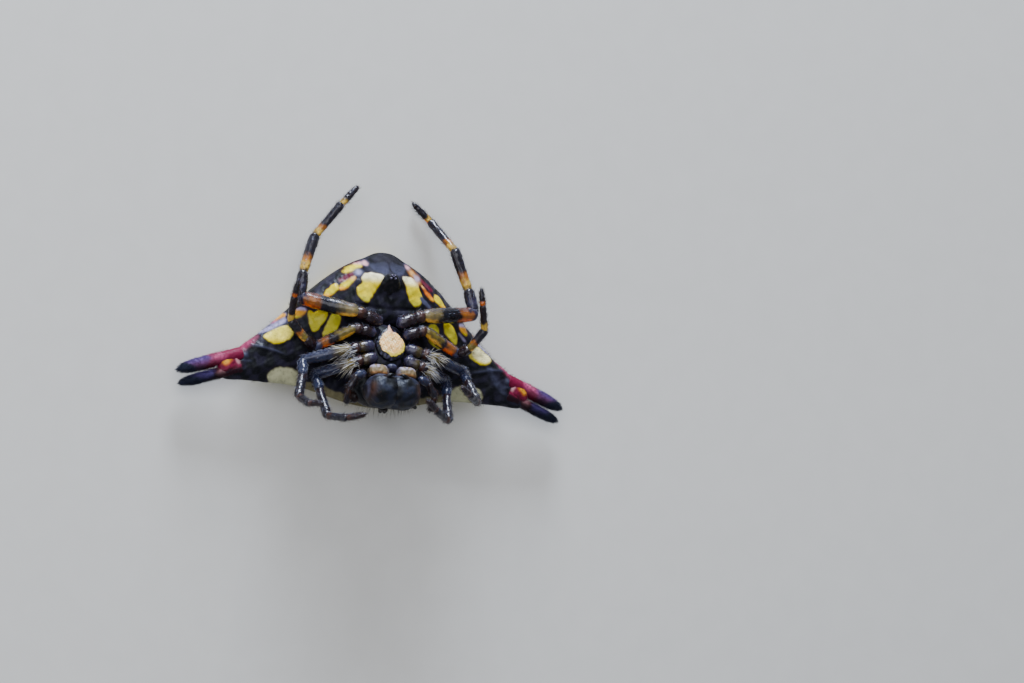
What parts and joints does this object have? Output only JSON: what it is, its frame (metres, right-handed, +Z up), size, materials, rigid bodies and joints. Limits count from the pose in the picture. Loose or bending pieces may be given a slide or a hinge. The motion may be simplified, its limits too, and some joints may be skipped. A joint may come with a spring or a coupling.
{
  "type": "spiny orb weaver spider model",
  "caption": "Life-size still model of a spiny orb weaver lying on its back, with a broad winged abdomen, long side spines and gathered legs.",
  "frame": {"origin": "on the floor, under the flat of the abdomen's back", "axes": "+X to the animal's own right, -Y to the head, +Z up, out of the belly"},
  "size_m": [0.0164, 0.0096, 0.0047],
  "materials": {
    "abdomen_shell": "glossy black shell with yellow patches, pitted",
    "spine_shell": "crimson at the root, blue-black and fuzzy at the tip",
    "carapace_shell": "glossy blue-black shell with fine bristles",
    "sternum_shell": "pale orange with a dark edge, satin",
    "mouthparts_shell": "tan to dark brown, satin",
    "leg_base_shell": "dark brown, glossy",
    "leg_banded_shell": "yellow-brown with dark bands, glossy",
    "leg_dark_shell": "black with orange rings, glossy",
    "eye_lens": "polished black"
  },
  "bodies": {
    "root": {"abdomen": "abdomen_shell", "spinnerets": "abdomen_shell", "spine_front_left": "spine_shell", "spine_rear_left": "spine_shell", "spine_front_right": "spine_shell", "spine_rear_right": "spine_shell", "pedicel": "mouthparts_shell", "carapace": "carapace_shell", "sternum": "sternum_shell", "labium": "mouthparts_shell", "maxilla_left": "mouthparts_shell", "maxilla_right": "mouthparts_shell", "chelicera_left": "carapace_shell", "chelicera_right": "carapace_shell", "palp_left": "mouthparts_shell", "palp_right": "mouthparts_shell", "eye_median_front_left": "eye_lens", "eye_median_front_right": "eye_lens", "eye_median_back_left": "eye_lens", "eye_median_back_right": "eye_lens", "eye_lateral_front_left": "eye_lens", "eye_lateral_front_right": "eye_lens", "eye_lateral_back_left": "eye_lens", "eye_lateral_back_right": "eye_lens", "leg1_left_coxa": "leg_base_shell", "leg1_left_femur": "leg_banded_shell", "leg1_left_tibia": "leg_dark_shell", "leg1_left_tarsus": "leg_dark_shell", "leg1_right_coxa": "leg_base_shell", "leg1_right_femur": "leg_banded_shell", "leg1_right_tibia": "leg_dark_shell", "leg1_right_tarsus": "leg_dark_shell", "leg2_left_coxa": "leg_base_shell", "leg2_left_femur": "leg_banded_shell", "leg2_left_tibia": "leg_dark_shell", "leg2_left_tarsus": "leg_dark_shell", "leg2_right_coxa": "leg_base_shell", "leg2_right_femur": "leg_banded_shell", "leg2_right_tibia": "leg_dark_shell", "leg2_right_tarsus": "leg_dark_shell", "leg3_left_coxa": "leg_base_shell", "leg3_left_femur": "leg_banded_shell", "leg3_left_tibia": "leg_dark_shell", "leg3_left_tarsus": "leg_dark_shell", "leg3_right_coxa": "leg_base_shell", "leg3_right_femur": "leg_banded_shell", "leg3_right_tibia": "leg_dark_shell", "leg3_right_tarsus": "leg_dark_shell", "leg4_left_coxa": "leg_base_shell", "leg4_left_femur": "leg_banded_shell", "leg4_left_tibia": "leg_dark_shell", "leg4_left_tarsus": "leg_dark_shell", "leg4_right_coxa": "leg_base_shell", "leg4_right_femur": "leg_banded_shell", "leg4_right_tibia": "leg_dark_shell", "leg4_right_tarsus": "leg_dark_shell"}
  },
  "joints": []
}
